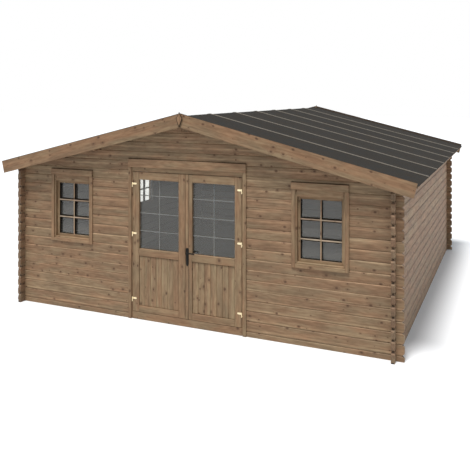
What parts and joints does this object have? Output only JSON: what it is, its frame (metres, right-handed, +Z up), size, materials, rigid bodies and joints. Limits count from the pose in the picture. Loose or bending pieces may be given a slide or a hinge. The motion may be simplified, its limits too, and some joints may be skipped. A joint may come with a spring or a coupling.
{
  "type": "log cabin",
  "caption": "Garden log cabin with crossing log walls, a low gable roof in lapped felt, an outward double half-glazed door and barred windows.",
  "frame": {"origin": "on the ground under the middle of the roof's plan", "axes": "+X to the right seen from the front, +Y to the back, +Z up"},
  "size_m": [6.2036, 6.42, 2.9206],
  "materials": {
    "log_timber": "impregnated sawn softwood",
    "joinery_timber": "impregnated planed softwood",
    "roof_timber": "planed softwood boards",
    "floor_timber": "planed softwood boards",
    "felt": "mineral bitumen felt",
    "glass": "clear double glazing",
    "hinge_brass": "brass plated",
    "black_handle": "satin black"
  },
  "bodies": {
    "cabin": {"door_frame_hinges": "hinge_brass", "door_head": "joinery_timber", "door_head_trim": "joinery_timber", "door_posts": "joinery_timber", "door_side_trims": "joinery_timber", "door_sill": "joinery_timber", "eave_fascia_left": "joinery_timber", "eave_fascia_right": "joinery_timber", "floor_boards": "floor_timber", "floor_joists": "floor_timber", "front_apex_cover": "joinery_timber", "front_barge_boards": "joinery_timber", "front_gable": "log_timber", "front_left_window_frame": "joinery_timber", "front_left_window_glass": "glass", "front_left_window_trim": "joinery_timber", "front_right_window_frame": "joinery_timber", "front_right_window_glass": "glass", "front_right_window_trim": "joinery_timber", "front_wall_left": "log_timber", "front_wall_right": "log_timber", "left_wall": "log_timber", "left_wall_window_frame": "joinery_timber", "left_wall_window_glass": "glass", "left_wall_window_trim": "joinery_timber", "rear_apex_cover": "joinery_timber", "rear_barge_boards": "joinery_timber", "rear_gable": "log_timber", "rear_wall": "log_timber", "ridge_purlin": "roof_timber", "right_wall": "log_timber", "roof_boards_left": "roof_timber", "roof_boards_right": "roof_timber", "roof_felt_left": "felt", "roof_felt_right": "felt", "side_purlins": "roof_timber"},
    "left_leaf": {"left_leaf_frame": "joinery_timber", "left_leaf_glass": "glass", "left_leaf_hinges": "hinge_brass", "left_leaf_panel": "joinery_timber"},
    "right_leaf": {"lock_plates": "black_handle", "right_leaf_frame": "joinery_timber", "right_leaf_glass": "glass", "right_leaf_hinges": "hinge_brass", "right_leaf_panel": "joinery_timber"},
    "lever": {"lever_handle": "black_handle"}
  },
  "joints": [
    {"name": "left_leaf_swing", "type": "hinge", "parent": "cabin", "child": "left_leaf", "pos_m": [-0.838, -3.038, 1.19], "axis": [0, 0, -1], "range_deg": [0, 110]},
    {"name": "right_leaf_swing", "type": "hinge", "parent": "cabin", "child": "right_leaf", "pos_m": [0.838, -3.038, 1.19], "axis": [0, 0, 1], "range_deg": [0, 110]},
    {"name": "lever_turn", "type": "hinge", "parent": "right_leaf", "child": "lever", "pos_m": [0.0325, -3.008, 1.008], "axis": [0, 1, 0], "range_deg": [0, 45], "stiffness_Nm_per_rad": 1, "springref_deg": -34.38}
  ]
}
